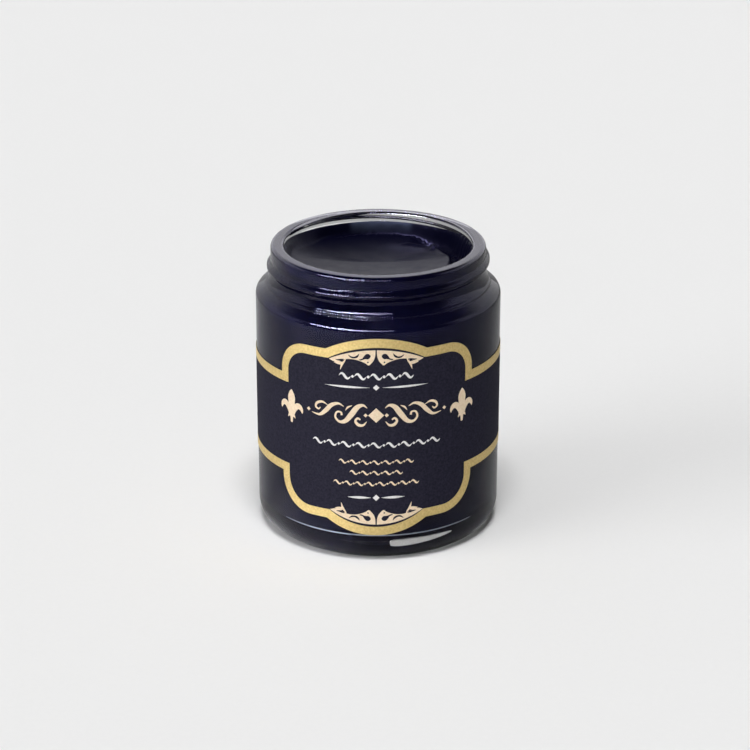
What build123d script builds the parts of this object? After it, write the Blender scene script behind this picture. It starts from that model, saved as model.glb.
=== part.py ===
"""Open screw-neck glass jar of shoe cream, with a wrap-around die-cut label.

The jar stands on z = 0 with its axis on +Z. The label's front faces -Y. Millimetres and degrees.
"""

import os
from math import asin, cos, degrees, radians, sin, tan

from build123d import *

# ---- driving dimensions ----------------------------------------------------------------------
# jar, outside
jar_height = 57.4
body_diameter = 48.0
heel_radius = 3.4
heel_slope = 30.0             # of the short flat between the heel's round and the base
shoulder_width = 3.0          # how far the body stands out beyond the neck
shoulder_slope = 38.0
shoulder_radius = 1.4
finish_height = 6.51          # from the sealing rim down to where the neck meets the shoulder
ring_step_width = 1.0         # the neck ring's part of the shoulder, inside the step that its mould leaves
ring_step_height = 0.5
neck_foot_chamfer = 0.5
rim_chamfer = 0.4

# jar, walls
neck_wall = 2.6
body_wall = 2.7
base_thickness = 4.0
inner_heel_chamfer = 2.2

# jar, underside: a flat ring to stand on round a shallow push-up
bearing_ring_width = 3.5
push_up = 2.2
push_up_slope = 35.0

# thread bead
thread_height = 0.75          # how far its crest stands out from the neck
thread_pitch = 2.6
thread_turns = 1.1
thread_start = 130.0          # azimuth of the low end, counted from +X towards +Y
thread_start_depth = 4.75     # from the rim down to the crest's low end
thread_run_out = 35.0         # azimuth over which each end sinks into the neck
thread_end_sink = 0.13        # how far below the neck's skin the crest ends
thread_crest_width = 0.5
thread_lower_flank = 0.45
thread_upper_flank = 0.65
thread_root = 0.35            # how far the bead reaches into the neck wall

# shoe cream
fill_gap = 0.05
fill_depth = 1.2              # from the rim down to the cream's edge
dish_depth = 4.0
crust_width = 0.9             # flat left at the edge of the bowl
bowl_steps = 4

# label, measured on the flat sheet
label_thickness = 0.13
label_adhesive = 0.02
label_top_margin = 0.75       # from the top arch up to the start of the shoulder's round
label_bottom_margin = 2.4     # from the heel's round up to the bottom arch
panel_half_width = 20.5
arch_half_width = 9.8
top_arch_rise = 2.6
top_lobe_radius = 6.2
bottom_arch_rise = 3.0
bottom_lobe_radius = 7.1
band_top_step = 0.85          # from the band's top edge up to the spring of the lobes
band_bottom_step = 0.4
label_seam_gap = 0.5

# ---- derived sizes ---------------------------------------------------------------------------
body_r = body_diameter / 2
neck_r = body_r - shoulder_width
ring_step_r = neck_r + ring_step_width
mouth_r = neck_r - neck_wall
cavity_r = body_r - body_wall
slope = tan(radians(shoulder_slope))

neck_foot_height = jar_height - finish_height
shoulder_height = neck_foot_height - ring_step_height - shoulder_width * slope
wall_top = shoulder_height - shoulder_radius * tan(radians(90 - shoulder_slope) / 2)
inner_shoulder_height = shoulder_height - body_wall * slope / 2

heel_corner_height = heel_radius * (1 - tan(radians(90 - heel_slope) / 2))
ring_outer_r = body_r - heel_corner_height / tan(radians(heel_slope))
ring_inner_r = ring_outer_r - bearing_ring_width
push_up_r = ring_inner_r - push_up / tan(radians(push_up_slope))

fill_level = jar_height - fill_depth
dish_r = mouth_r - crust_width
dish_curve_radius = (dish_r ** 2 + dish_depth ** 2) / (2 * dish_depth)
dish_half_angle = asin(dish_r / dish_curve_radius)


def cavity_section(clearance, top):
    """Corners of the cavity's half-section, from the axis up to a level, less a clearance all round."""
    wall = cavity_r - clearance
    bore = mouth_r - clearance
    floor = base_thickness + clearance
    slope_start = inner_shoulder_height + cavity_r * slope - clearance / cos(radians(shoulder_slope))
    return [
        (0, floor),
        (wall - inner_heel_chamfer, floor),
        (wall, floor + inner_heel_chamfer),
        (wall, slope_start - wall * slope),
        (bore, slope_start - bore * slope),
        (bore, top),
    ]


# ---- glass jar -------------------------------------------------------------------------------
with BuildPart() as glass_jar:
    # outside of the jar: push-up, bearing ring, heel, body, stepped shoulder, neck and rim
    with BuildSketch(Plane.XZ):
        with BuildLine():
            outside = FilletPolyline(
                (0, push_up),
                (push_up_r, push_up),
                (ring_inner_r, 0),
                (ring_outer_r, 0),
                (body_r, heel_corner_height),
                (body_r, shoulder_height),
                (ring_step_r, neck_foot_height - ring_step_width * slope - ring_step_height),
                (ring_step_r, neck_foot_height - ring_step_width * slope),
                (neck_r + neck_foot_chamfer, neck_foot_height - neck_foot_chamfer * slope),
                (neck_r, neck_foot_height + neck_foot_chamfer),
                (neck_r, jar_height),
                (0, jar_height),
                radius=[0, 0, 0, heel_radius, shoulder_radius, 0, 0, 0, 0, 0],
            )
            Line(outside @ 1, outside @ 0)
        make_face()
    revolve(axis=Axis.Z)

    # thread bead: one right-hand strand whose ends sink into the neck wall
    with BuildLine() as thread_path:
        steps = round(thread_turns * 24)
        crest = []
        for step in range(steps + 1):
            turned = thread_turns * 360 * step / steps
            from_end = min(turned, thread_turns * 360 - turned)
            sunk = max(0, 1 - from_end / thread_run_out)
            radius = neck_r + thread_height - (thread_height + thread_end_sink) * sunk
            azimuth = radians(thread_start + turned)
            height = jar_height - thread_start_depth + thread_pitch * turned / 360
            crest.append((radius * cos(azimuth), radius * sin(azimuth), height))
        Spline(*crest)
    start_plane = Plane(
        origin=thread_path.line @ 0,
        x_dir=(cos(radians(thread_start)), sin(radians(thread_start)), 0),
        z_dir=thread_path.line % 0,
    )
    with BuildSketch(start_plane):
        lower_foot = -thread_crest_width / 2 - thread_lower_flank
        upper_foot = thread_crest_width / 2 + thread_upper_flank
        with BuildLine():
            Polyline(
                (-thread_height - thread_root, lower_foot),
                (-thread_height, lower_foot),
                (0, -thread_crest_width / 2),
                (0, thread_crest_width / 2),
                (-thread_height, upper_foot),
                (-thread_height - thread_root, upper_foot),
                close=True,
            )
        make_face()
    sweep(path=thread_path.line, is_frenet=True)

    # cavity and mouth, then the two edges of the sealing rim
    with BuildSketch(Plane.XZ):
        with BuildLine():
            Polyline(*cavity_section(0, jar_height), (0, jar_height), close=True)
        make_face()
    revolve(axis=Axis.Z, mode=Mode.SUBTRACT)
    rim_edges = glass_jar.edges().filter_by(GeomType.CIRCLE).group_by(Axis.Z)[-1]
    chamfer(rim_edges, length=rim_chamfer)

# ---- shoe cream ------------------------------------------------------------------------------
with BuildPart() as shoe_cream:
    with BuildSketch(Plane.XZ):
        with BuildLine():
            # the bowl that use has worn, as a chain of cones
            bowl = []
            for step in range(bowl_steps, -1, -1):
                angle = dish_half_angle * step / bowl_steps
                rise = dish_curve_radius * (1 - cos(angle))
                bowl.append((dish_curve_radius * sin(angle), fill_level - dish_depth + rise))
            Polyline(*cavity_section(fill_gap, fill_level), *bowl, close=True)
        make_face()
    revolve(axis=Axis.Z)

# ---- label -----------------------------------------------------------------------------------
label_r = body_r + label_adhesive
top_arch_height = wall_top - label_top_margin
top_lobe_height = top_arch_height - top_arch_rise
top_spring = top_lobe_height - top_lobe_radius
top_centre = panel_half_width - top_lobe_radius
bottom_arch_height = heel_radius + label_bottom_margin
bottom_lobe_height = bottom_arch_height + bottom_arch_rise
bottom_spring = bottom_lobe_height + bottom_lobe_radius
bottom_centre = panel_half_width - bottom_lobe_radius
band_top = top_spring - band_top_step
band_bottom = bottom_spring + band_bottom_step
arc_steps = 6


def rolled(along, height):
    """Front elevation of a sheet point once the sheet is rolled round the jar."""
    return (label_r * sin(along / label_r), height)


def rolled_arc(centre, radius, start, stop):
    """Elevation of an arc on the flat sheet, from the start angle to the stop angle."""
    points = []
    for step in range(arc_steps + 1):
        angle = radians(start + (stop - start) * step / arc_steps)
        points.append(rolled(centre[0] + radius * cos(angle), centre[1] + radius * sin(angle)))
    Spline(*points)


def rolled_arch(height, spring_height):
    """Wide arch across the panel: over its springing from right to left, or under it from left to right."""
    rise = abs(height - spring_height)
    radius = (arch_half_width ** 2 + rise ** 2) / (2 * rise)
    half_angle = degrees(asin(arch_half_width / radius))
    if height > spring_height:
        rolled_arc((0, height - radius), radius, 90 - half_angle, 90 + half_angle)
    else:
        rolled_arc((0, height + radius), radius, 270 - half_angle, 270 + half_angle)


with BuildPart() as label_die:
    # a plain band all round, with the scalloped panel in front
    with BuildSketch(Plane.XY.offset(band_bottom)):
        Circle(body_diameter)
    extrude(amount=band_top - band_bottom)
    with BuildSketch(Plane.XZ):
        with BuildLine():
            rolled_arch(top_arch_height, top_lobe_height)
            Line(rolled(-arch_half_width, top_lobe_height), rolled(-top_centre, top_lobe_height))
            rolled_arc((-top_centre, top_spring), top_lobe_radius, 90, 180)
            Line(rolled(-panel_half_width, top_spring), rolled(-panel_half_width, bottom_spring))
            rolled_arc((-bottom_centre, bottom_spring), bottom_lobe_radius, 180, 270)
            Line(rolled(-bottom_centre, bottom_lobe_height), rolled(-arch_half_width, bottom_lobe_height))
            rolled_arch(bottom_arch_height, bottom_lobe_height)
            Line(rolled(arch_half_width, bottom_lobe_height), rolled(bottom_centre, bottom_lobe_height))
            rolled_arc((bottom_centre, bottom_spring), bottom_lobe_radius, 270, 360)
            Line(rolled(panel_half_width, bottom_spring), rolled(panel_half_width, top_spring))
            rolled_arc((top_centre, top_spring), top_lobe_radius, 0, 90)
            Line(rolled(top_centre, top_lobe_height), rolled(arch_half_width, top_lobe_height))
        make_face()
    extrude(amount=body_diameter)

with BuildPart() as label:
    # the rolled sheet, from the bottom arch to the top arch, cut by the die
    with BuildSketch(Plane.XY):
        Circle(label_r + label_thickness)
        Circle(label_r, mode=Mode.SUBTRACT)
    extrude(amount=jar_height)
    add(label_die.part, mode=Mode.INTERSECT)
    # the two ends stop short of each other at the back
    with Locations((0, body_r, (band_bottom + band_top) / 2)):
        Box(label_seam_gap, body_r, 2 * (band_top - band_bottom), mode=Mode.SUBTRACT)

# ---- files -----------------------------------------------------------------------------------
os.makedirs("parts", exist_ok=True)
glass_jar.part.label = "glass_jar"
shoe_cream.part.label = "shoe_cream"
label.part.label = "label"
export_step(glass_jar.part, "parts/glass_jar.step")
export_step(shoe_cream.part, "parts/shoe_cream.step")
export_step(label.part, "parts/label.step")
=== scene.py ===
# %% [markdown]
# # An open glass jar of black shoe cream
# The jar is a moulded glass pot with a screw neck. Black cream fills it to the brim, and a dark
# paper label with a printed gold frame wraps round its body. The solid model of the jar gives
# the main sizes here. This notebook makes the surfaces that are seen: glass, cream, paper and foil.

# %% Load the solid model
from collections import namedtuple

import bpy
import numpy as np
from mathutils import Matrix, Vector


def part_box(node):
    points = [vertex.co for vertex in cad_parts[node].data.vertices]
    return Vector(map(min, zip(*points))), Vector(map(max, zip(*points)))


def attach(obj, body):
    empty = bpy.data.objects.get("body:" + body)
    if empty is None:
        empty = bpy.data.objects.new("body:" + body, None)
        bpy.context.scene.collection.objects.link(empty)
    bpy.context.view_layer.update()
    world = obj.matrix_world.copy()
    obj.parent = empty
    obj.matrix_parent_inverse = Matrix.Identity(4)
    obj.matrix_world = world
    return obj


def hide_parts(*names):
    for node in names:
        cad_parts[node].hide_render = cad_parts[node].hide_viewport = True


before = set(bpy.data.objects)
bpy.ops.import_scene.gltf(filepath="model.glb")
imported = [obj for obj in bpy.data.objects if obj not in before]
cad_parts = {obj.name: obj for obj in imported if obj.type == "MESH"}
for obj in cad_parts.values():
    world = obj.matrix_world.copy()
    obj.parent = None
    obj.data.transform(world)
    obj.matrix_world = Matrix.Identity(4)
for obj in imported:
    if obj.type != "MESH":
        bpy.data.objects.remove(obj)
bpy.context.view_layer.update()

print("pieces of the solid model:", sorted(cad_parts))

# %% [markdown]
# ## Sizes
# All lengths are in metres, as everywhere in Blender, so a millimetre gets a name. The outer sizes
# are read from the solid model's boxes. The rest are the walls and steps of the moulding, which
# no box can tell.

# %% Sizes of the jar
mm = 0.001

glass_low, glass_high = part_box("glass_jar")
cream_low, cream_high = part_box("shoe_cream")
paper_low, paper_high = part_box("label")

shoulder_width = 3.0 * mm
neck_wall = 2.6 * mm
body_wall = 2.7 * mm
finish_height = 6.51 * mm
ring_step_width = 1.0 * mm
ring_step_height = 0.5 * mm
slope = np.tan(np.radians(38))

jar_height = glass_high.z
body_radius = glass_high.x
neck_radius = body_radius - shoulder_width
mouth_radius = neck_radius - neck_wall
ring_step_radius = neck_radius + ring_step_width
neck_foot_height = jar_height - finish_height
shoulder_height = neck_foot_height - ring_step_height - shoulder_width * slope
print("jar", round(2 * body_radius / mm, 1), "mm across and", round(jar_height / mm, 1), "mm tall")
print("label", round((paper_high.z - paper_low.z) / mm, 1), "mm tall")

# %% [markdown]
# ## Outlines
# A glass maker draws half of the jar's section as straight sides with a round at each corner. The
# same drawing works here: a list of corners, each with the radius of its round.


# %% Draw a rounded outline
def rounded(corners, steps=8):
    """Points along straight sides whose corners are arcs. Each corner is (x, y, radius of its arc).

    The centre of an arc is its corner moved along the half-angle line by radius / sin(half angle).
    The arc's points turn evenly from the first touching point to the second. The first and the
    last corner are the ends, which have no arc.
    """
    corners = np.array(corners, float)
    places = corners[:, :2]
    outline = [places[:1]]
    for before, corner, after, radius in zip(places, places[1:], places[2:], corners[1:, 2]):
        back = (before - corner) / np.linalg.norm(before - corner)
        ahead = (after - corner) / np.linalg.norm(after - corner)
        half_angle = np.arccos(np.clip(back @ ahead, -1, 1)) / 2
        inwards = (back + ahead) / np.linalg.norm(back + ahead)
        centre = corner + inwards * radius / np.sin(half_angle)
        first = corner + back * radius / np.tan(half_angle) - centre
        last = corner + ahead * radius / np.tan(half_angle) - centre
        turn = np.pi - 2 * half_angle
        along = np.linspace(0, 1, steps + 1)[:, None]
        arc = (np.sin((1 - along) * turn) * first + np.sin(along * turn) * last) / np.sin(turn)
        outline.append(centre + arc)
    outline.append(places[-1:])
    return np.vstack(outline)


def divided(outline, longest):
    """The same outline with extra points on it, so that no step is longer than the longest."""
    lengths = np.linalg.norm(np.diff(outline, axis=0), axis=1)
    places = np.append(0, np.cumsum(np.maximum(1, np.ceil(lengths / longest))))
    steps = np.arange(places[-1] + 1)
    return np.stack([np.interp(steps, places, values) for values in outline.T], axis=-1)


# %% [markdown]
# ## From numbers to a piece
# Every surface here starts as an array of points, so one helper turns points and faces into a
# Blender object. It shades the piece smooth, but keeps an edge crisp where the faces meet at more
# than a given angle, as at the edge of a paper sheet.


# %% Make a piece from points and faces
def make_piece(name, points, faces, finish, crisp_angle=180):
    """An object in the scene. Edges that bend by more than the crisp angle stay sharp."""
    mesh = bpy.data.meshes.new(name)
    mesh.from_pydata(points.reshape(-1, 3).tolist(), [], faces)
    mesh.materials.append(finish.material)
    mesh.shade_smooth()
    if crisp_angle < 180:
        mesh.set_sharp_from_angle(angle=np.radians(crisp_angle))
    mesh.update()
    piece = bpy.data.objects.new(name, mesh)
    bpy.context.scene.collection.objects.link(piece)
    print(name, len(mesh.vertices), "points", len(mesh.polygons), "faces")
    return piece


def refinish(piece, finish, chosen):
    """Give the chosen faces another finish. Faces are counted in the order they were made."""
    slots = np.zeros(len(piece.data.polygons), dtype=np.int32)
    piece.data.polygons.foreach_get("material_index", slots)
    slots[chosen] = len(piece.data.materials)
    piece.data.materials.append(finish.material)
    piece.data.polygons.foreach_set("material_index", slots)
    piece.data.update()


# %% [markdown]
# A grid of points becomes a skin of four-sided faces. Where the form goes right round, the last
# column joins the first, and a fan of triangles closes each end.


# %% Make faces from a grid
def grid_faces(rows, columns, joined=False, first=0):
    """Faces between neighbouring rows and columns, joined round if the last meets the first."""
    across = np.arange(columns if joined else columns - 1)
    row, column = np.meshgrid(np.arange(rows - 1), across, indexing="ij")
    here = row * columns + column
    ahead = row * columns + (column + 1) % columns
    return np.stack([here, ahead, ahead + columns, here + columns], axis=-1).reshape(-1, 4) + first


def capped_tube(name, rings, poles, finish):
    """A closed skin through rings of points, with a fan of triangles to a pole at each end."""
    rows, columns = rings.shape[:2]
    points = np.vstack([rings.reshape(-1, 3), poles])
    here = np.arange(columns)
    ahead = np.roll(here, -1)
    pole = np.full(columns, rows * columns)
    last_row = pole - columns
    low_fan = np.stack([pole, ahead, here], axis=-1)
    high_fan = np.stack([last_row + here, last_row + ahead, pole + 1], axis=-1)
    faces = grid_faces(rows, columns, joined=True).tolist() + low_fan.tolist() + high_fan.tolist()
    return make_piece(name, points, faces, finish)


def turned_piece(name, radius, height, azimuth, finish):
    """A form turned round the z axis, closed by one point on the axis at each end.

    radius has a row for each point of the outline and a column for each azimuth, and so may height.
    A point lies at (radius cos azimuth, radius sin azimuth, height).
    """
    height = height + np.zeros_like(radius)
    rings = np.stack([radius * np.cos(azimuth), radius * np.sin(azimuth), height], axis=-1)
    poles = [[0, 0, height[0].mean()], [0, 0, height[-1].mean()]]
    return capped_tube(name, rings, poles, finish)


# %% [markdown]
# ## Materials
# A material is a small graph of nodes. This helper adds a node and sets its sockets by name, each
# to a plain value or to another node's output, so a material reads as a list of what makes it up.


# %% Build node graphs
class Graph:
    """A tree of shader nodes, with short calls that add nodes to it. _ stands for a space."""

    def __init__(self, tree):
        self.tree = tree

    def set(self, socket, value):
        """Link a node's output to the socket, or store a plain value in it."""
        if isinstance(value, bpy.types.NodeSocket):
            self.tree.links.new(value, socket)
        else:
            socket.default_value = value

    def node(self, kind, settings=None, **sockets):
        """Add a node, choose from its menus with the settings, and set its sockets by name."""
        added = self.tree.nodes.new("ShaderNode" + kind)
        for setting, value in (settings or {}).items():
            setattr(added, setting, value)
        for socket, value in sockets.items():
            self.set(added.inputs[socket.replace("_", " ")], value)
        return added

    def maths(self, operation, first, second, kind="Math"):
        """One number worked out from two numbers, or from two vectors with VectorMath."""
        made = self.node(kind, {"operation": operation})
        self.set(made.inputs[0], first)
        self.set(made.inputs[1], second)
        return made.outputs["Value"]

    def between(self, factor, low, high, over=(0.0, 1.0), soft=False):
        """A number that goes from low to high as the factor goes over a range, softly or evenly."""
        curve = {"interpolation_type": "SMOOTHSTEP" if soft else "LINEAR"}
        made = self.node("MapRange", curve, Value=factor, From_Min=over[0], From_Max=over[1],
                         To_Min=low, To_Max=high)
        return made.outputs["Result"]


# %% [markdown]
# Nearly every real surface has a fine grain: here, a noise that chooses between two colours. It
# reads Object coordinates, which are metres on the real object, so a grain keeps its real size.


# %% Build materials
class Finish(Graph):
    """A material with one Principled shader, whose sockets are given by name."""

    def __init__(self, name, **sockets):
        self.material = bpy.data.materials.new(name)
        self.material.use_nodes = True
        super().__init__(self.material.node_tree)
        self.shader = self.tree.nodes["Principled BSDF"]
        self.place = self.node("TexCoord").outputs["Object"]
        self.shade(**sockets)
        print("finish:", name)

    def shade(self, **sockets):
        """Set or link sockets of the shader."""
        for socket, value in sockets.items():
            self.set(self.shader.inputs[socket.replace("_", " ")], value)

    def noise(self, scale, detail, stretch=(1, 1, 1)):
        """A cloudy pattern from 0 to 1, with about that scale of clouds to a metre."""
        placed = self.node("Mapping", Vector=self.place, Scale=stretch)
        made = self.node("TexNoise", Vector=placed.outputs["Vector"], Scale=scale, Detail=detail,
                         Roughness=0.55)
        return made.outputs["Fac"]

    def colours(self, factor, *stops):
        """A colour that goes from one stop to the other, each a place from 0 to 1 and a colour."""
        made = self.node("ValToRGB", Fac=factor)
        for element, (place, colour) in zip(made.color_ramp.elements, stops, strict=True):
            element.position = place
            element.color = (*colour, 1)
        return made.outputs["Color"]

    def grain(self, scale, detail, *stops, stretch=(1, 1, 1)):
        """Colour the surface by a noise, and return the noise for other uses."""
        noise = self.noise(scale, detail, stretch)
        self.shade(Base_Color=self.colours(noise, *stops))
        return noise

    def bump(self, height, distance, strength=1.0):
        """Small relief: height from 0 to 1 stands for that distance in metres."""
        made = self.node("Bump", Height=height, Distance=distance, Strength=strength)
        return made.outputs["Normal"]


# %% [markdown]
# ## Camera
# A product is seen from a little above with a long lens. The camera stands half a metre off and
# looks down 22 degrees. It is moved a touch to the left of the jar's axis without being turned,
# so the jar stands a touch right of the middle.

# %% Camera
look_down = np.radians(22.24)
camera_distance = 500 * mm
aim_height = 29.44 * mm
camera_shift = -0.62 * mm

lens = bpy.data.cameras.new("camera")
lens.lens = 120.7
lens.sensor_width = 36
lens.clip_start = 0.01
lens.clip_end = 20
camera = bpy.data.objects.new("camera", lens)
camera.location = (
    camera_shift,
    -camera_distance * np.cos(look_down),
    aim_height + camera_distance * np.sin(look_down),
)
camera.rotation_euler = (np.pi / 2 - look_down, 0, 0)
bpy.context.scene.collection.objects.link(camera)
bpy.context.scene.camera = camera
bpy.context.scene.view_settings.view_transform = "Standard"
print("camera at", [round(value, 3) for value in camera.location])

# %% [markdown]
# ## Floor
# The floor is a sheet of pale paper that runs far past the picture. A real table top ends and is
# lit unevenly, and polished glass shows that. So in a mirrored ray the paper is darker, most of
# all at the right, with a brighter pool at the front left. Seen straight, and for the light that
# it gives off, it is one even pale sheet.

# %% Floor
paper_white = (0.871, 0.871, 0.871)
floor_size = 6.0
pool_heading = (-0.72, -0.694, 0)

floor_finish = Finish("studio_paper", Roughness=0.9, Specular_IOR_Level=0.0)
fibre = floor_finish.noise(900, detail=3)
paper_colour = floor_finish.colours(fibre, (0.3, (0.866,) * 3), (0.7, (0.876,) * 3))

across = floor_finish.node("SeparateXYZ", Vector=floor_finish.place).outputs["X"]
even_share = floor_finish.between(across, 0.6, 0.38, over=(-100 * mm, 100 * mm))
heading = floor_finish.node("VectorMath", {"operation": "NORMALIZE"}, Vector=floor_finish.place)
ahead = heading.outputs["Vector"]
towards_pool = floor_finish.maths("DOT_PRODUCT", ahead, pool_heading, kind="VectorMath")
pool = floor_finish.between(towards_pool, 0.0, 0.62, over=(0.74, 0.99), soft=True)
mirrored_share = floor_finish.maths("ADD", even_share, pool)

mirrored_ray = floor_finish.node("LightPath").outputs["Is Glossy Ray"]
paper_share = floor_finish.between(mirrored_ray, 1.0, mirrored_share)
seen = floor_finish.node("VectorMath", {"operation": "SCALE"}, Vector=paper_colour,
                         Scale=paper_share)
floor_finish.shade(Base_Color=seen.outputs["Vector"])

floor_corners = np.array([[-1, -1, 0], [1, -1, 0], [1, 1, 0], [-1, 1, 0]]) * floor_size / 2
floor = make_piece("floor", floor_corners, [[0, 1, 2, 3]], floor_finish)

# %% [markdown]
# ## Lamps
# A low, wide key lamp stands to the front left and throws the long soft shadow, and a lamp almost
# overhead does most of the rest. They are sun lamps, because a sun's light has the same strength
# everywhere, so the paper stays evenly pale.
#
# Glass and gloss are another matter: they show the lamps themselves. A softbox is a wide panel,
# bright in its middle, so a row of narrow suns stands for it, seen only in reflections.


# %% Lamps
def sun(name, azimuth, elevation, strength, angle):
    """A sun lamp whose light comes from that azimuth and elevation, as wide as that angle."""
    lamp = bpy.data.lights.new(name, "SUN")
    lamp.energy = strength
    lamp.angle = np.radians(angle)
    holder = bpy.data.objects.new(name, lamp)
    holder.rotation_euler = (0, np.radians(90 - elevation), np.radians(azimuth))
    bpy.context.scene.collection.objects.link(holder)
    return holder


key_lamp = sun("key_lamp", azimuth=205, elevation=20, strength=1.2, angle=40)
top_lamp = sun("top_lamp", azimuth=272, elevation=73, strength=2.14, angle=20)
for lamp in (key_lamp, top_lamp):
    lamp.visible_glossy = False
softbox = ((207, 1.8), (221, 3.5), (235, 3.5), (249, 2.4), (263, 0.7), (277, 0.4))
for number, (panel_azimuth, panel_strength) in enumerate(softbox):
    panel = sun(f"softbox_{number}", panel_azimuth, elevation=34, strength=panel_strength, angle=16)
    panel.visible_diffuse = False
print("lamps:", [lamp.name for lamp in bpy.data.lights])

# %% [markdown]
# ## The room
# The room around is a studio: pale paper behind the jar and at its sides, a dark ceiling, and
# darkness behind the camera. Polished glass looks like glass only when it has both light and dark
# to mirror. The camera itself sees pale paper everywhere, and glass and metal see the room. The
# plain light that falls on everything else is a little stronger from the left.

# %% World
world = bpy.data.worlds.new("studio")
bpy.context.scene.world = world
world.use_nodes = True
sky = Graph(world.node_tree)

direction = sky.node("SeparateXYZ", Vector=sky.node("TexCoord").outputs["Generated"]).outputs
towards_camera = sky.maths("MULTIPLY", direction["Y"], -1.0)
below_ceiling = sky.between(direction["Z"], 1.0, 0.03, over=(0.48, 0.78), soft=True)
behind_jar = sky.between(towards_camera, 1.0, 0.02, over=(0.0, 0.45), soft=True)
from_left = sky.between(direction["X"], 0.28, 0.09, over=(-0.7, 0.7), soft=True)

rays = sky.node("LightPath").outputs
room = sky.maths("MULTIPLY", below_ceiling, behind_jar)
paper_seen = sky.maths("MAXIMUM", room, rays["Is Camera Ray"])
room_colour = sky.node("Mix", {"data_type": "RGBA"}, Factor=paper_seen,
                       A=(0, 0, 0, 1), B=(*paper_white, 1))
room_light = sky.node("Background", Color=room_colour.outputs["Result"])
plain_light = sky.node("Background", Color=(1, 1, 1, 1), Strength=from_left)

mirrored_rays = sky.maths("MAXIMUM", rays["Is Glossy Ray"], rays["Is Transmission Ray"])
seeing_rays = sky.maths("MAXIMUM", mirrored_rays, rays["Is Camera Ray"])
chosen_light = sky.node("MixShader", Fac=seeing_rays)
sky.set(chosen_light.inputs[1], plain_light.outputs["Background"])
sky.set(chosen_light.inputs[2], room_light.outputs["Background"])
sky.set(sky.tree.nodes["World Output"].inputs["Surface"], chosen_light.outputs["Shader"])

# %% [markdown]
# ## Glass
# Clear moulded glass bends light and mirrors a little of it. Its surface is never quite even: the
# mould leaves a faint ripple, and handling leaves a trace of haze. Both are far too fine to model,
# so a slow noise tilts the surface by a hair and another one clouds it.

# %% Glass finish
glass_finish = Finish("clear_glass", Base_Color=(0.965, 0.972, 0.985, 1), IOR=1.5,
                      Transmission_Weight=1.0, Specular_Tint=(0.45, 0.44, 0.66, 1))
haze = glass_finish.noise(160, detail=5)
ripple = glass_finish.noise(110, detail=1, stretch=(1, 1, 0.5))
glass_finish.shade(
    Roughness=glass_finish.between(haze, 0.015, 0.04, over=(0.4, 0.8)),
    Normal=glass_finish.bump(ripple, 0.004 * mm),
)

# %% [markdown]
# The sealing rim was fire-polished and then wiped many times, and it mirrors more than the walls.
# A second, clear-coated glass is laid on the faces of the rim alone.

# %% Rim finish
rim_finish = Finish("polished_rim", Base_Color=(0.97, 0.975, 0.99, 1), IOR=1.5, Roughness=0.02,
                    Transmission_Weight=1.0, Specular_Tint=(0.6, 0.58, 0.9, 1),
                    Coat_Weight=0.8, Coat_Roughness=0.04, Coat_Tint=(0.9, 0.88, 1.0, 1))
rim_ripple = rim_finish.noise(260, detail=2)
rim_finish.shade(Normal=rim_finish.bump(rim_ripple, 0.01 * mm))

# %% [markdown]
# ## The jar
# A jar is round, so its half-section is turned about the axis. The outline runs from the middle of
# the underside out over the base, up the body, over the shoulder and the neck, round the lip, and
# down the inside to the middle of the floor. It starts and ends a millimetre from the axis, where
# a fan of triangles takes over.

# %% Outline of the jar
hub_radius = 1 * mm
push_up_height = 2.2 * mm
push_up_run = push_up_height / np.tan(np.radians(35))
ring_inner = 18.0 * mm
ring_outer = 21.5 * mm
heel_corner_height = (body_radius - ring_outer) * np.tan(np.radians(30))

underside = rounded([
    (hub_radius, push_up_height, 0),
    (ring_inner - push_up_run, push_up_height, 2.0 * mm),
    (ring_inner, 0, 0.5 * mm),
    (ring_outer, 0, 0),
])

step_foot_height = shoulder_height + (body_radius - ring_step_radius) * slope
foot_width = 0.62 * mm
foot_low = neck_foot_height - foot_width * slope
foot_high = foot_low + foot_width / np.tan(np.radians(26))
finish_start = neck_foot_height + 2 * mm
side = rounded([
    (ring_outer, 0, 0),
    (body_radius, heel_corner_height, 4.9 * mm),
    (body_radius, shoulder_height, 1.4 * mm),
    (ring_step_radius, step_foot_height, 0.3 * mm),
    (ring_step_radius, step_foot_height + ring_step_height, 0.6 * mm),
    (neck_radius + foot_width, foot_low, 0.5 * mm),
    (neck_radius, foot_high, 5.2 * mm),
    (neck_radius, finish_start, 0),
], steps=10)

# %% [markdown]
# Inside, the wall follows the outside at a distance, with wider rounds, because glass flows there
# without touching a mould. The neck needs rows far closer together than the plain walls do, since
# a highlight on the thin ridge of the thread is drawn by very few of them.

# %% Inside of the jar
cavity_wall = cream_high.x + 0.05 * mm
floor_height = cream_low.z - 0.05 * mm
inner_shoulder = shoulder_height - body_wall * slope / 2
mouth_foot = inner_shoulder + (cavity_wall - mouth_radius) * slope
lip_end = jar_height - 2 * mm
neck_row = 0.04 * mm

neck_and_lip = rounded([
    (neck_radius, finish_start, 0),
    (neck_radius, jar_height, 0.8 * mm),
    (mouth_radius, jar_height, 0.6 * mm),
    (mouth_radius, lip_end, 0),
])
inside = rounded([
    (mouth_radius, lip_end, 0),
    (mouth_radius, mouth_foot, 2.4 * mm),
    (cavity_wall, inner_shoulder, 2.4 * mm),
    (cavity_wall, floor_height, 2.8 * mm),
    (hub_radius, floor_height, 0),
])
jar_outline = np.vstack([
    divided(underside, 2 * mm)[:-1],
    divided(side, 2 * mm)[:-2],
    divided(side[-2:], neck_row)[:-1],
    divided(neck_and_lip[:2], neck_row)[:-1],
    divided(neck_and_lip[1:], 0.3 * mm)[:-1],
    divided(inside, 3 * mm),
])
print("jar outline:", len(jar_outline), "points")

# %% [markdown]
# Only the screw thread isn't round: it is one ridge that climbs as it goes round, and it is added
# to the neck's radius as a function of azimuth and height.

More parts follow.
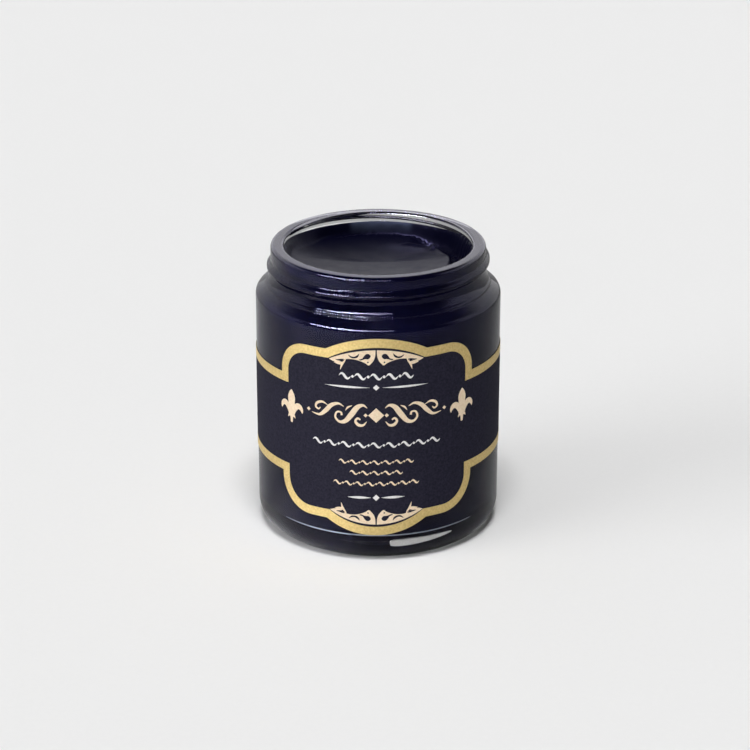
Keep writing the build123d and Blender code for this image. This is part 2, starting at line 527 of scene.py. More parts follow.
# %% Screw thread
thread_height = 0.75 * mm
thread_pitch = 2.6 * mm
thread_turns = 1.1
thread_start = np.radians(130)
thread_low_end = jar_height - 4.75 * mm
crest_half_width = 0.15 * mm
lower_flank = 0.8 * mm
upper_flank = 1.15 * mm
run_out = np.radians(35)


def eased(share):
    """0 below 0, 1 above 1, and a smooth S between."""
    share = np.clip(share, 0, 1)
    return share * share * (3 - 2 * share)


def thread_ridge(azimuth, height):
    """How far the thread stands out at an azimuth and a height.

    The crest's height grows by one pitch a turn. The section is a narrow crest between two S-shaped
    flanks, a short one below and a long one above, and each end of the thread sinks away over the
    run-out.
    """
    ridge = np.zeros(np.broadcast(azimuth, height).shape)
    first_turn = np.mod(azimuth - thread_start, 2 * np.pi)
    for lap in range(2):
        turned = first_turn + 2 * np.pi * lap
        left = thread_turns * 2 * np.pi - turned
        fade = eased(turned / run_out) * eased(left / run_out)
        above = height - thread_low_end - thread_pitch * turned / (2 * np.pi)
        flank = np.where(above > 0, upper_flank, lower_flank)
        shape = eased(1 - (np.abs(above) - crest_half_width) / flank)
        ridge = np.maximum(ridge, thread_height * fade * shape)
    return ridge


# %% [markdown]
# The mould is made of two halves, and each joint between them leaves a hair-thin raised line up
# the jar. It is a narrow bell curve over the azimuth, so the mesh gets extra columns just there.

# %% Mould seams
seam_azimuths = np.radians([83, 263])
seam_height = 0.04 * mm
seam_width = 0.1 * mm
even_columns = np.linspace(0, 2 * np.pi, 330, endpoint=False)
seam_columns = np.linspace(-3, 3, 9) * seam_width / body_radius
azimuth = np.unique(np.append(even_columns, seam_azimuths[:, None] + seam_columns))


def seam_ridge(azimuth):
    """A bell curve of the distance from each seam, measured round the body."""
    away = np.abs(azimuth[:, None] - seam_azimuths) * body_radius
    return seam_height * np.exp(-(away / seam_width) ** 2).sum(axis=1)


print(len(azimuth), "columns,", len(seam_columns), "of them at each seam")

# %% [markdown]
# Thread and seams are added to the radius of the outside alone, which is every row before the top
# of the lip.

# %% Turn the jar
lip_rows = 4
outline_radius = jar_outline[:, :1]
outline_height = jar_outline[:, 1:]
outer = np.arange(len(jar_outline))[:, None] < np.argmax(outline_height) - lip_rows
below_lip = outline_height < jar_height - 0.5 * mm
on_neck = outer & (outline_height > neck_foot_height) & below_lip
on_side = outer & (outline_height > 1 * mm)

ridge = np.where(on_neck, thread_ridge(azimuth, outline_height), 0)
jar_radius = outline_radius + ridge + np.where(on_side, seam_ridge(azimuth), 0)
glass = turned_piece("jar_glass", jar_radius, outline_height, azimuth, glass_finish)

rim_rows = np.flatnonzero(jar_outline[:-1, 1] > jar_height - 0.36 * mm)
rim_faces = rim_rows[:, None] * len(azimuth) + np.arange(len(azimuth))
refinish(glass, rim_finish, rim_faces.ravel())
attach(glass, "root")
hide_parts("glass_jar")

# %% [markdown]
# ## Black cream
# Shoe cream is a stiff wax paste: nearly black, with a satin shine where a finger or a cloth has
# wiped it smooth, and dull where it was torn. It wets the glass, so seen through the wall there is
# no gap and no shine of its own: the cream's skin lies a hair inside the glass. That calls for two
# finishes on one piece, a dead black one under the glass and a satin one for the worn bowl. The
# dead black one is also laid on the glass in the corner under the thread as painted shade: a dark
# line that stands in for the shade and dark reflection there. Those are the faces at the foot of
# the flank that rises with height.

# %% Cream seen through the glass, and painted shade under the thread
wetted_and_crease_shade_finish = Finish("cream_on_glass_and_crease_shade", Roughness=0.9, Specular_IOR_Level=0.0)
wetted_and_crease_shade_finish.grain(160, 4, (0.3, (0.001, 0.001, 0.006)), (0.7, (0.002, 0.002, 0.01)),
                    stretch=(1, 1, 0.4))

# Painted shade: the dead black cream finish goes on the glass faces in the corner under the thread,
# as a dark line.
least_rise = 0.0005 * mm
rising = np.diff(ridge, axis=0) > least_rise
crease_shade_faces = rising & (ridge[:-1] < 0.4 * thread_height) & on_neck[:-1]
refinish(glass, wetted_and_crease_shade_finish, np.flatnonzero(crease_shade_faces))
print(np.count_nonzero(crease_shade_faces), "faces of the glass lie in the corner under the thread")

# %% [markdown]
# A thin film of cream was left on the glass at the back, and the light behind it makes it look
# blue-grey: that blue-grey is painted into its colour, paler where there is more film. Two values
# stored at each point of the mesh tell the satin finish how much of a film there is and how smooth
# the cream is.

# %% Cream in the bowl
cream_finish = Finish("black_cream", Specular_Tint=(0.5, 0.47, 1.0, 1))
smooth = cream_finish.node("Attribute", {"attribute_name": "smooth"}).outputs["Fac"]
film = cream_finish.node("Attribute", {"attribute_name": "film"}).outputs["Fac"]
mottle = cream_finish.noise(350, detail=6)
wipes = cream_finish.noise(500, detail=4, stretch=(0.35, 1, 1))
patchy = cream_finish.between(mottle, 0.6, 1.3, over=(0.3, 0.7))
thickness = cream_finish.maths("MULTIPLY", film, patchy)
# Painted backlight: the film's blue-grey stands in for light shining through it from behind.
painted_film_backlight = cream_finish.colours(thickness, (0.0, (0.002, 0.002, 0.01)), (1.0, (0.05, 0.06, 0.1)))
cream_finish.shade(
    Base_Color=painted_film_backlight,
    Specular_IOR_Level=cream_finish.between(smooth, 0.04, 0.33),
    Roughness=cream_finish.between(mottle, 0.33, 0.42, over=(0.3, 0.7)),
    Normal=cream_finish.bump(wipes, 0.008 * mm),
)

# %% [markdown]
# The bowl is one height for each radius and azimuth. The radii are shares of the mouth's, which
# crowd towards the edge, where the detail is.

# %% Grid of the bowl
seat = 0.05 * mm
wall_radius = mouth_radius + seat
columns = 360
cream_azimuth = np.linspace(0, 2 * np.pi, columns, endpoint=False)[None, :]
share = (1 - np.linspace(0, 1, 120)[1:-1] ** 1.3)[:, None]
bowl_radius = np.repeat(wall_radius * share, columns, axis=1)
bowl_x = bowl_radius * np.cos(cream_azimuth)
bowl_y = bowl_radius * np.sin(cream_azimuth)
print("bowl grid:", len(share), "rings of", columns, "points")

# %% [markdown]
# Its shape is built up from the story of its use: a smooth hollow, a back half that was scooped
# lower and left its film on the wall, a deep scrape at the right with a raised lip and a pressed-up
# lump, and a rough crust where the scrape tore the paste. Three small functions over the grid are
# enough to say where each of them is.


# %% Shapes for the bowl
def about(centre, half_width, soft):
    """1 within the half width of an azimuth, and eased to 0 over the soft margin, in degrees."""
    away = np.abs((np.degrees(cream_azimuth) - centre + 180) % 360 - 180)
    return eased((half_width + soft - away) / soft)


def bell(centre, width):
    """A bell curve over the share: 1 at the centre, falling as exp(-(distance / width) squared)."""
    return np.exp(-((share - centre) / width) ** 2)


def lumps(size, seed):
    """A lumpy field of about -1 to 1: the sum of plane waves with random headings and phases."""
    draw = np.random.default_rng(seed)
    count = 24
    heading, phase = draw.uniform(0, 2 * np.pi, (2, count))
    length = size * draw.uniform(0.6, 1.6, count)
    along = bowl_x[..., None] * np.cos(heading) + bowl_y[..., None] * np.sin(heading)
    return np.sin(2 * np.pi * along / length + phase).sum(axis=-1) / np.sqrt(2 * count)


# %% [markdown]
# The cream's side is the inside of the glass, a hair larger so that no gap shows. The hollow grows
# deeper towards the back. Under the brim the wall of cream that was left is the film, and its edge
# is crisp at the back, where a blade cut it, and soft all round the rest.

# %% Side, hollow and film
cream_wall = divided(rounded([
    (hub_radius, floor_height - seat, 0),
    (cavity_wall + seat, floor_height - seat, 2.8 * mm),
    (cavity_wall + seat, inner_shoulder, 2.4 * mm),
    (wall_radius, mouth_foot, 2.4 * mm),
    (wall_radius, jar_height - 3 * mm, 0),
]), 3 * mm)
brim = jar_height - 0.95 * mm - 1.0 * mm * about(centre=92, half_width=30, soft=60)
sweep = eased((bowl_y / mouth_radius + 0.9) / 1.7)
hollow = (1.3 * mm + 1.7 * mm * sweep) * (1 - share ** 2.6) ** 0.8 + 1.0 * mm
scooped = 0.9 * mm * about(centre=84, half_width=46, soft=60)
tear = lumps(1.2 * mm, seed=3)
crisp = about(centre=82, half_width=42, soft=20)
film_edge = 0.953 + 0.025 * crisp + 0.001 * tear
edge_half_width = 0.05 - 0.042 * crisp
film_left = eased((share - film_edge + edge_half_width) / (2 * edge_half_width))

# %% [markdown]
# The scrape drops away outside a raised lip, and a groove runs on from it along the back wall.
# Torn paste is lumpy at three sizes, and wiped paste waves gently.

# %% Scrape, lip and crust
groove = 0.4 * mm * bell(centre=0.958, width=0.014) * about(centre=70, half_width=36, soft=16)
groove = groove * (1 + 0.6 * tear)
lip_share = 0.745 + 0.045 * about(centre=52, half_width=10, soft=16)
scraped = about(centre=22, half_width=30, soft=16)
scrape = 1.9 * mm * scraped * eased((share - lip_share) / 0.07) * eased((0.985 - share) / 0.07)
lip = 0.3 * mm * bell(lip_share - 0.005, width=0.022) * about(centre=46, half_width=16, soft=12)
lump_away = (bowl_x - 10.9 * mm) ** 2 + (bowl_y - 9.2 * mm) ** 2
lump = 0.75 * mm * np.exp(-lump_away / (0.75 * mm) ** 2)

torn_edge = about(centre=78, half_width=22, soft=8) * bell(centre=0.95, width=0.02)
torn = np.clip(scraped * eased((share - lip_share - 0.02) / 0.05) + torn_edge, 0, 1)
crumbs = about(centre=80, half_width=26, soft=8) * bell(centre=0.945, width=0.016)
crust = 0.2 * mm * torn * (tear + 0.6 * lumps(0.6 * mm, seed=5))
crust = crust + 0.3 * mm * crumbs * np.maximum(lumps(0.9 * mm, seed=8) + 0.3, 0)
wiped = 0.02 * mm * lumps(6 * mm, seed=11) * eased((1 - share) / 0.1) * eased(share / 0.15)

bowl_height = brim - (hollow + scooped * share ** 3) * (1 - film_left) - groove - scrape
bowl_height = np.minimum(bowl_height + lip + lump + crust + wiped, brim)
print("bowl:", round((brim.max() - bowl_height.min()) / mm, 2), "mm deep at its lowest")

# %% [markdown]
# Side, brim and bowl are stacked into one grid and turned. The faces from the brim inwards get the
# satin finish, and so does the fan that closes the bowl.

# %% Turn the cream
wall_rows = len(cream_wall)
brim_radius = np.full_like(brim, wall_radius)
cream_radius = np.vstack([np.repeat(cream_wall[:, :1], columns, axis=1), brim_radius, bowl_radius])
cream_height = np.vstack([np.repeat(cream_wall[:, 1:], columns, axis=1), brim, bowl_height])
cream = turned_piece("black_cream", cream_radius, cream_height, cream_azimuth[0], wetted_and_crease_shade_finish)
bowl_faces = np.arange(wall_rows * columns, (len(cream_radius) - 1) * columns)
fan_faces = np.arange(columns) + len(cream.data.polygons) - columns
refinish(cream, cream_finish, np.concatenate([bowl_faces, fan_faces]))

film_grid = film_left * about(centre=88, half_width=17, soft=5) * eased((share - 0.9) / 0.05)
dulled = 0.2 + 0.65 * eased((bowl_y - 1 * mm) / (17 * mm))
smooth_grid = np.maximum((1 - film_left) * (1 - torn) * (1 - dulled), 0.9 * crumbs)
for name, grid in (("film", film_grid), ("smooth", smooth_grid)):
    on_wall = np.zeros(wall_rows * columns)
    values = np.concatenate([on_wall, grid[0], grid.ravel(), [0, grid[-1].mean()]])
    values = values.astype(np.float32)
    cream.data.attributes.new(name, "FLOAT", "POINT").data.foreach_set("value", values)
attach(cream, "root")
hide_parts("shoe_cream")

# %% [markdown]
# ## Painted highlights in the base
# Two bright marks in the glass base are painted highlights, laid in as thin mirrors: a fine line
# along the corner where the cream meets the bottom of the glass, and a flat patch at the right of
# it. They stand in for light that the thick base bends there. Both are metal mirrors, the line a
# soft grey and the patch near white.

# %% Finishes of the painted highlights
# Painted highlights: a soft grey mirror for the line and a near-white one for the patch.
painted_line_finish = Finish("painted_line_mirror", Metallic=1.0, Roughness=0.3)
painted_line_finish.grain(900, 3, (0.35, (0.4, 0.45, 0.55)), (0.65, (0.55, 0.6, 0.7)))
painted_patch_finish = Finish("painted_highlight_patch", Metallic=1.0, Roughness=0.2)
painted_patch_finish.grain(600, 4, (0.3, (0.92, 0.9, 0.88)), (0.5, (1.0, 1.0, 1.0)))


# %% Painted highlight line and patch
def painted_highlight_bead(name, azimuths, radius, heights, half_height, lean, finish):
    """A thin closed bead between two azimuths in degrees and two heights.

    Each station is an ellipse that swells as the square root of a half sine wave, and a point
    closes each end. A lean under 1 moves the widest part towards the start.
    """
    share = np.linspace(0, 1, 111)[:, None]
    swell = np.sin(np.pi * share ** lean) ** 0.5 + 0.02
    turn = np.linspace(0, 2 * np.pi, 12, endpoint=False)
    angle = np.radians(azimuths[0] + (azimuths[1] - azimuths[0]) * share)
    middle = heights[0] + (heights[1] - heights[0]) * share
    away = radius + 0.05 * mm * swell * np.cos(turn)
    height = middle - half_height * swell * np.sin(turn)
    rings = np.stack([away * np.cos(angle), away * np.sin(angle), height], axis=-1)
    bead = capped_tube(name, rings, rings[[0, -1]].mean(axis=1), finish)
    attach(bead, "root")


# Two painted highlights in the glass base, standing in for light that the base bends.
painted_highlight_bead("painted_highlight_line", azimuths=(215, 325), radius=20.42 * mm, heights=(4.62 * mm, 4.62 * mm),
         half_height=0.17 * mm, lean=1, finish=painted_line_finish)
painted_highlight_bead("painted_highlight_patch", azimuths=(276, 312), radius=19.9 * mm, heights=(2.9 * mm, 3.1 * mm),
         half_height=0.65 * mm, lean=0.45, finish=painted_patch_finish)

# %% [markdown]
# ## Label
# The label is cut flat and then rolled round the jar. So every printed shape is worked out on the
# flat sheet first, as a distance along the sheet and a height, and one function rolls them all.
# The sheet was put on by hand, a little turned and a little askew.

# %% Roll the flat sheet round the body
label_turn = np.radians(-0.95)
label_skew = 0.0157
sheet_radius = body_radius + 0.02 * mm


def rolled(grid, lift):
    """Points in space for (along, height) places: the distance along turns into an angle."""
    angle = -np.pi / 2 + label_turn + grid[..., 0] / sheet_radius
    radius = sheet_radius + lift
    x = radius * np.cos(angle)
    points = np.stack([x, radius * np.sin(angle), grid[..., 1] + label_skew * x], axis=-1)
    return points.reshape(-1, 3)


def sheet_faces(rows, columns):
    """Faces of a thin closed sheet: its front, its back, and the sides that join their rims."""
    count = rows * columns
    number = np.arange(count).reshape(rows, columns)
    front = grid_faces(rows, columns)[:, ::-1]
    back = grid_faces(rows, columns, first=count)
    rim = np.concatenate([number[0, :-1], number[:-1, -1], number[-1, :0:-1], number[:0:-1, 0]])
    rim_ahead = np.roll(rim, -1)
    sides = np.stack([rim, rim_ahead, rim_ahead + count, rim + count], axis=-1)
    return np.vstack([front, back, sides])


def sheet_piece(name, grids, base, tops, finish):
    """A piece made of thin closed sheets with crisp edges.

    Each grid holds (along, height) places, with its rows along the sheet and its columns up it.
    Its front lies at its own top lift, and all the backs lie at the base lift.
    """
    points, faces, count = [], [], 0
    for grid, top in zip(grids, tops, strict=True):
        points += [rolled(grid, top), rolled(grid, base)]
        faces += (sheet_faces(*grid.shape[:2]) + count).tolist()
        count += 2 * len(points[-1])
    return make_piece(name, np.vstack(points), faces, finish, crisp_angle=50)


# %% [markdown]
# The paper is uncoated and nearly black. Its fibres show as a fine mottle, and they lift the
# surface a little too, so one noise drives both.

# %% Paper finish
paper_finish = Finish("navy_paper", Roughness=0.62, Specular_IOR_Level=0.06)
hollows, tips = (0.32, (0.0125, 0.012, 0.024)), (0.68, (0.0235, 0.0222, 0.041))
fibres = paper_finish.grain(2400, 3, hollows, tips)
paper_finish.shade(Normal=paper_finish.bump(fibres, 0.02 * mm, strength=0.6))

# %% [markdown]
# The cutter's die has an upper and a lower edge, and both are made alike: a straight band, then a
# rounded lobe at each corner of the panel, and a wide arch in the middle. side is 1 for the upper
# edge and -1 for the lower one, so one set of formulas serves both.

# %% Cut outline of the label
Edge = namedtuple("Edge", "side band lobe lobe_radius arch")
upper_edge = Edge(side=1, band=36.95 * mm, lobe=44.0 * mm, lobe_radius=6.2 * mm, arch=46.6 * mm)
lower_edge = Edge(side=-1, band=16.3 * mm, lobe=8.8 * mm, lobe_radius=7.1 * mm, arch=5.8 * mm)
panel_half = 20.5 * mm
arch_half = 9.8 * mm
seam_half = 0.25 * mm
back_seam = np.pi * sheet_radius - seam_half


def arch_radius(edge):
    """The circle through the arch's ends and crown: (half width² + rise²) / (2 rise)."""
    rise = abs(edge.arch - edge.lobe)
    return (arch_half ** 2 + rise ** 2) / (2 * rise)


def fallen(crown, away, radius, side):
    """Height of a circle with its crown on that side, at a distance away from its middle."""
    return crown - side * (radius - np.sqrt(radius ** 2 - away ** 2))


def arch_height(along, edge):
    """Height of the wide arch."""
    away = np.minimum(np.abs(along), arch_half)
    return fallen(edge.arch, away, arch_radius(edge), edge.side)


def edge_height(along, edge):
    """Height of a cut edge: the arch, then level up to the lobe's quarter circle, then the band."""
    away = np.abs(along)
    past = np.clip(away - (panel_half - edge.lobe_radius), 0, edge.lobe_radius)
    lobe = fallen(edge.lobe, past, edge.lobe_radius, edge.side)
    panel = np.where(away < arch_half, arch_height(along, edge), lobe)
    return np.where(away > panel_half, edge.band, panel)


# %% [markdown]
# The sheet's grid has its columns where the outline bends. At the panel's sides the outline jumps
# straight up, so two stations stand there a hair apart.

# %% Label sheet
sheet_thickness = 0.1 * mm
hair = 0.001 * mm
quarter = np.sin(np.linspace(0, np.pi / 2, 25))
stations = np.unique(np.concatenate([
    np.linspace(0, arch_half, 20),
    [arch_half + hair],
    panel_half + (quarter - 1) * upper_edge.lobe_radius,
    panel_half + (quarter - 1) * lower_edge.lobe_radius,
    np.linspace(panel_half + 2 * hair, back_seam, 110),
]))
stations = np.concatenate([-stations[:0:-1], stations])[:, None]
rows_up = np.linspace(0, 1, 25)
sheet_low = edge_height(stations, lower_edge)
sheet_high = edge_height(stations, upper_edge)
sheet_height = sheet_low + (sheet_high - sheet_low) * rows_up
sheet_grid = np.stack(np.broadcast_arrays(stations, sheet_height), axis=-1)
sheet = sheet_piece("label_sheet", [sheet_grid], 0, [sheet_thickness], paper_finish)
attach(sheet, "root")
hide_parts("label")

# %% [markdown]
# ## Gold frame
# The gold is a foil, pressed on in a strip as wide all along. It follows the cut edge, so it is a
# ruled surface: one rail on the edge, the other an even step inside it, and straight lines
# between the two.

# %% Foil finish
foil_finish = Finish("gold_foil", Metallic=0.6, Roughness=0.4)
foil_grain = foil_finish.grain(2600, 3, (0.32, (0.72, 0.53, 0.2)), (0.68, (0.89, 0.69, 0.3)))
foil_finish.shade(Normal=foil_finish.bump(foil_grain, 0.012 * mm, strength=0.7))

# %% Rails of the gold frame
gold_width = 1.8 * mm
foil_sink = 0.02 * mm


def arc(centre, radius, start, stop, count):
    """Points on a circle's arc between two angles in degrees, without its first point."""
    angle = np.radians(np.linspace(start, stop, count + 1)[1:, None])
    return np.array(centre) + radius * np.hstack([np.cos(angle), np.sin(angle)])


def frame_rail(inset, edge):
    """Right half of a rail that far inside the cut edge, from the back seam to the middle."""
    side = edge.side
    band = edge.band - side * inset
    level = edge.lobe - side * inset
    panel_side = panel_half - inset
    lobe_centre = (panel_half - edge.lobe_radius, edge.lobe - side * edge.lobe_radius)
    arch_centre = edge.arch - side * arch_radius(edge)
    radius = arch_radius(edge) - inset
    corner = np.sqrt(radius ** 2 - (level - arch_centre) ** 2)
    fan = np.degrees(np.arcsin(corner / radius))
    return np.vstack([
        np.linspace((back_seam, band), (panel_side, band), 91),
        np.linspace((panel_side, band), (panel_side, lobe_centre[1]), 3)[1:],
        arc(lobe_centre, edge.lobe_radius - inset, 0, side * 90, 16),
        np.linspace((lobe_centre[0], level), (corner, level), 7)[1:],
        arc((0, arch_centre), radius, side * (90 - fan), side * 90, 14),
    ])


def frame_strip(edge):
    """Grid of the foil between two rails, each made of a right half and its mirror image."""
    rails = []
    for inset in (0, gold_width):
        half = frame_rail(inset, edge)
        rails.append(np.vstack([half[:-1] * (-1, 1), half[::-1]])[:, None])
    low, high = rails[::-1] if edge.side > 0 else rails
    return low + (high - low) * np.linspace(0, 1, 5)[:, None]


for name, edge in (("gold_frame_upper", upper_edge), ("gold_frame_lower", lower_edge)):
    foil = sheet_piece(name, [frame_strip(edge)], sheet_thickness - foil_sink,
                       [sheet_thickness + foil_sink], foil_finish)
    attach(foil, "root")

# %% [markdown]
# ## Printed ornaments
# The rest of the print is pen work: scrolls, fleurs-de-lis and ornamental rules. An engraver draws
# such a shape with a pen that presses harder and softer, and that is how it is made here: a stroke
# is a smooth path with a width at each stop.

# %% Ink finishes
ink_finish = Finish("pale_gold_ink", Roughness=0.55)
ink_finish.grain(2600, 3, (0.3, (0.84, 0.64, 0.43)), (0.7, (0.95, 0.79, 0.58)))
white_finish = Finish("white_ink", Roughness=0.6)
white_finish.grain(2600, 3, (0.3, (0.72, 0.71, 0.72)), (0.7, (0.9, 0.89, 0.88)))


# %% Pen strokes
def smooth_path(stops, steps=6):
    """A smooth curve through the stops.

    Between two stops it is a cubic whose direction at each stop is from the stop before to the stop
    after, which is the Catmull-Rom curve. A stop may carry more numbers than its place.
    """
    stops = np.array(stops, float)
    padded = np.vstack([2 * stops[0] - stops[1], stops, 2 * stops[-1] - stops[-2]])
    before, start, stop, after = (padded[k:k + len(stops) - 1, None] for k in range(4))
    t = np.linspace(0, 1, steps, endpoint=False)[None, :, None]
    cubic = 3 * start - 3 * stop + after - before
    bend = 2 * before - 5 * start + 4 * stop - after
    curve = start + 0.5 * t * (stop - before + t * (bend + t * cubic))
    return np.vstack([curve.reshape(-1, stops.shape[1]), stops[-1:]])


def pen_stroke(path):
    """A flat grid along a path of (along, height, width) rows, from its right side to its left."""
    heading = np.gradient(path[:, :2], axis=0)
    heading /= np.linalg.norm(heading, axis=1, keepdims=True)
    leftward = np.stack([-heading[:, 1], heading[:, 0]], axis=-1)
    half_width = np.maximum(path[:, 2:3], 0.03 * mm) / 2
    sides = np.linspace(-1, 1, 3)[None, :, None]
    return path[:, None, :2] + sides * (half_width * leftward)[:, None]


def drawn(strokes):
    """Pen strokes from lists of stops in millimetres."""
    return [pen_stroke(smooth_path(stops) * mm) for stops in strokes]


def both_sides(grids):
    """The grids and their mirror images, whose rows are turned round so that they face out too."""
    return grids + [grid[::-1] * (-1, 1) for grid in grids]


# %% [markdown]
# A print is one piece made of many strokes. Each is a thin closed sheet, sunk a little into the
# paper, and stands a hair higher than the one before, so that no two surfaces coincide.

# %% Print strokes on the label
ink_height = 0.016 * mm
ink_sink = 0.01 * mm
ink_layer = 0.0008 * mm


def printed(name, grids, finish, layer=0):
    """One piece from many strokes. The first lies at the given layer and each next one above it."""
    tops = sheet_thickness + ink_height + ink_layer * (layer + np.arange(len(grids)))
    piece = sheet_piece(name, grids, sheet_thickness - ink_sink, tops, finish)
    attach(piece, "root")


# %% [markdown]
# A pair of scrolls fills each wide arch. One is drawn, in millimetres, with how far a stop lies
# under the arch instead of its height. It is a solid crescent that hangs from the arch with a leaf
# at its tail, and an eye, a smile and a dot are printed over it in the colour of the paper.

# %% Strokes of a scroll
crescent_edge = [
    (0.13, 0.3), (0.2, 1.25), (0.5, 2.1), (1.0, 2.72), (1.45, 3.0), (2.1, 2.5), (3.0, 2.0),
    (4.0, 1.55), (5.0, 1.25), (5.8, 1.12), (6.6, 1.15), (7.4, 1.15), (8.2, 0.85), (9.1, 0.03),
]
leaf_strokes = (
    [(5.75, 0.95, 0.1), (6.05, 1.45, 0.34), (6.5, 1.95, 0.5), (6.85, 2.95, 0.06)],
    [(6.4, 1.9, 0.5), (7.2, 1.45, 0.6), (8.0, 1.0, 0.3)],
)
eye_strokes = (
    [(1.02, 1.12, 0.1), (1.3, 1.16, 0.85), (1.7, 1.22, 1.12), (2.1, 1.38, 0.72), (2.5, 1.62, 0.3),
     (2.9, 1.74, 0.26), (3.2, 1.66, 0.1)],
    [(3.2, 0.5, 0.08), (3.6, 0.98, 0.42), (4.15, 1.12, 0.34), (4.75, 0.9, 0.26), (5.3, 0.35, 0.05)],
    [(1.42, 2.36, 0.16), (1.56, 2.38, 0.3), (1.7, 2.4, 0.16)],
    [(6.1, 1.02, 0.05), (6.6, 1.0, 0.3), (7.1, 0.92, 0.3), (7.8, 0.66, 0.05)],
)

# %% [markdown]
# One function hangs the scroll under the upper arch or stands it on the lower one, so each pair
# follows the curve of its own frame.

# %% Print the scrolls
frame_gap = 0.5 * mm
eye_layer = 8


def under_arch(grid, edge):
    """Turn depths into heights, under the upper arch or above the lower one.

    Depths that go down turn the grid's face inwards, so its columns are turned round as well.
    """
    start = arch_height(grid[..., 0], edge) - edge.side * (gold_width + frame_gap)
    placed = np.stack([grid[..., 0], start - edge.side * grid[..., 1]], axis=-1)
    return placed[:, ::-edge.side]


depth_shares = np.stack([np.ones(5), np.linspace(0, 1, 5)], axis=-1)
crescent = smooth_path(crescent_edge)[:, None] * mm * depth_shares
for name, edge in (("upper_scrolls", upper_edge), ("lower_scrolls", lower_edge)):
    body = [under_arch(grid, edge) for grid in [crescent] + drawn(leaf_strokes)]
    eyes = [under_arch(grid, edge) for grid in drawn(eye_strokes)]
    printed(name, both_sides(body), ink_finish)
    printed(f"{name}_eyes", both_sides(eyes), paper_finish, eye_layer)

# %% [markdown]
# The fleur-de-lis is as old as heraldry: an upright petal, two that bend outwards, a body where
# they meet and a small foot. One side is drawn, and the mirror does the rest.

# %% Fleurs-de-lis
fleur_spine = (
    [(0, 3.42, 0.08), (0, 2.95, 0.9), (0, 2.4, 1.5), (0, 1.7, 1.85), (0, 0.8, 1.7), (0, -0.2, 1.5),
     (0, -1.1, 1.9), (0, -1.8, 1.45), (0, -2.25, 0.9)],
    [(0, -2.0, 0.9), (0, -2.6, 0.64), (0, -3.3, 0.5), (0, -3.42, 0.2)],
)
fleur_side = (
    [(0.35, -1.5, 0.8), (0.8, -0.5, 1.1), (1.3, 0.12, 1.2), (1.85, 0.3, 1.2), (2.35, 0.05, 0.95),
     (2.65, -0.45, 0.6), (2.72, -1.0, 0.08)],
    [(0.35, -1.6, 0.5), (0.7, -2.05, 0.42), (0.95, -2.45, 0.06)],
)
fleur_along = 17.9 * mm
fleur_height = 30.5 * mm
fleur = drawn(fleur_spine) + both_sides(drawn(fleur_side))
for name, along in (("left_fleur", -fleur_along), ("right_fleur", fleur_along)):
    printed(name, [grid + (along, fleur_height) for grid in fleur], ink_finish)

# %% [markdown]
# The middle of the panel, where a maker would set words, has plain ornaments instead: swelled
# rules, thick in the middle and fine at the ends, rows of lozenges and waves, and one wide
# flourish of S-scrolls as the centrepiece.


# %% Rules, waves and lozenges
def line(along, height, width):
    """A pen stroke from its places along, its heights and its widths. Any may be one number."""
    return pen_stroke(np.stack(np.broadcast_arrays(along, height, width), axis=-1))


def lozenge(along, height, size):
    """A square on its corner: a stroke whose width rises to the middle and falls again."""
    share = np.linspace(-1, 1, 9)
    return line(along + size / 2 * share, height, size * (1 - np.abs(share)))


def swelled_rule(height, length, width, gap, jewel):
    """Two swelled lines and a lozenge in their gap: the width grows as a half sine wave."""
    share = np.linspace(0, 1, 25)
    half = line(gap / 2 + (length - gap) / 2 * share, height, width * np.sin(np.pi * share))
    return both_sides([half]) + [lozenge(0, height, jewel)]


def wave(along, height, length, width):
    """A swelled S: it rises by its width along a sine, and the pen presses in the middle."""
    share = np.linspace(0, 1, 17)
    rise = width * np.sin(2 * np.pi * share)
    return line(along + length * (share - 0.5), height + rise, width * np.sin(np.pi * share) ** 0.7)


def wave_row(height, count, pitch, size):
    """Waves and lozenges by turns, centred on the panel."""
    places = (np.arange(count) - (count - 1) / 2) * pitch
    waves = [wave(along, height, pitch * 0.76, size * 0.3) for along in places]
    return waves + [lozenge(along + pitch / 2, height, size * 0.4) for along in places[:-1]]


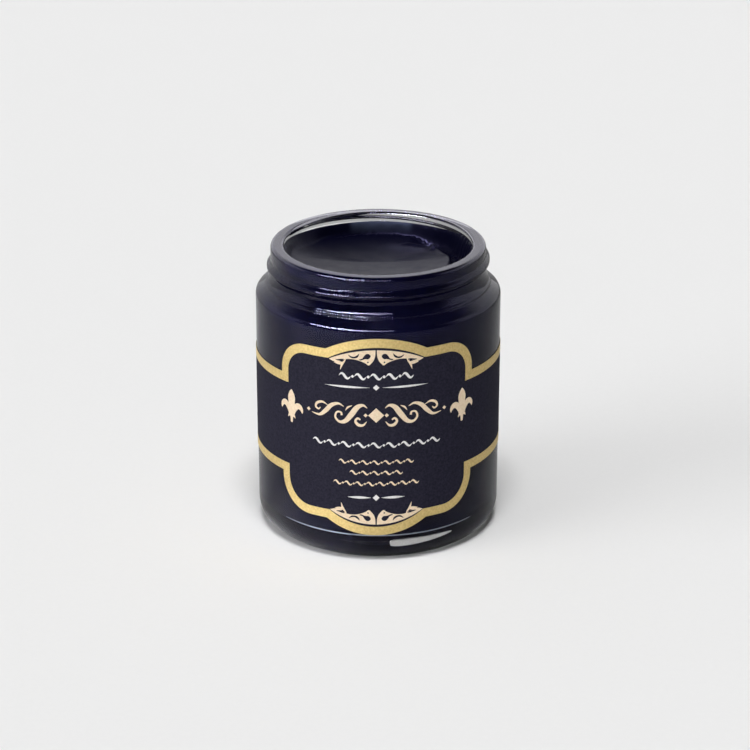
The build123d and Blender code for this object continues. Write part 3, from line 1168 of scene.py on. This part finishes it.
# %% Centre flourish
half_flourish = (
    [(1.7, 1.5, 0.1), (2.5, 2.05, 0.5), (3.6, 1.6, 0.95), (4.7, 0.1, 1.1), (5.9, -1.35, 0.85),
     (7.1, -1.6, 0.5), (7.9, -0.75, 0.4), (7.6, 0.3, 0.36), (6.8, 0.35, 0.36), (6.6, -0.25, 0.42)],
    [(1.8, -1.3, 0.1), (2.5, -2.05, 0.45), (3.4, -2.0, 0.6), (3.95, -1.25, 0.46), (3.5, -0.65, 0.4),
     (3.0, -0.95, 0.3)],
    [(6.2, 1.6, 0.1), (7.3, 2.1, 0.45), (8.7, 1.6, 0.8), (9.9, 0.3, 0.85), (11.2, -0.7, 0.5),
     (12.9, -0.5, 0.06)],
    [(9.4, 1.5, 0.06), (10.6, 2.0, 0.42), (11.7, 1.6, 0.5), (12.0, 0.8, 0.38), (11.4, 0.4, 0.32),
     (11.0, 0.8, 0.2)],
    [(4.6, 1.9, 0.06), (5.4, 1.5, 0.36), (5.9, 0.8, 0.06)],
)
flourish_height = 31.0 * mm
flourish = [grid + (0, flourish_height) for grid in both_sides(drawn(half_flourish))]
flourish += [lozenge(0, flourish_height, 3.0 * mm)]
flourish += [lozenge(along * mm, flourish_height, 0.8 * mm) for along in (-13.6, -2.0, 2.0, 13.6)]
printed("centre_flourish", flourish, ink_finish)

# %% Rows above and below the flourish
white = swelled_rule(36.7 * mm, length=20 * mm, width=0.42 * mm, gap=2.4 * mm, jewel=1.2 * mm)
white += wave_row(38.9 * mm, count=5, pitch=3.0 * mm, size=1.7 * mm)
white += wave_row(24.8 * mm, count=9, pitch=2.9 * mm, size=1.5 * mm)
white += swelled_rule(13.8 * mm, length=11 * mm, width=0.5 * mm, gap=2.0 * mm, jewel=1.3 * mm)
printed("white_ornaments", white, white_finish)

gold_rows = []
for height, count in ((21.2 * mm, 7), (19.0 * mm, 5), (16.7 * mm, 8)):
    gold_rows += wave_row(height, count, pitch=2.15 * mm, size=1.15 * mm)
printed("gold_rows", gold_rows, ink_finish)
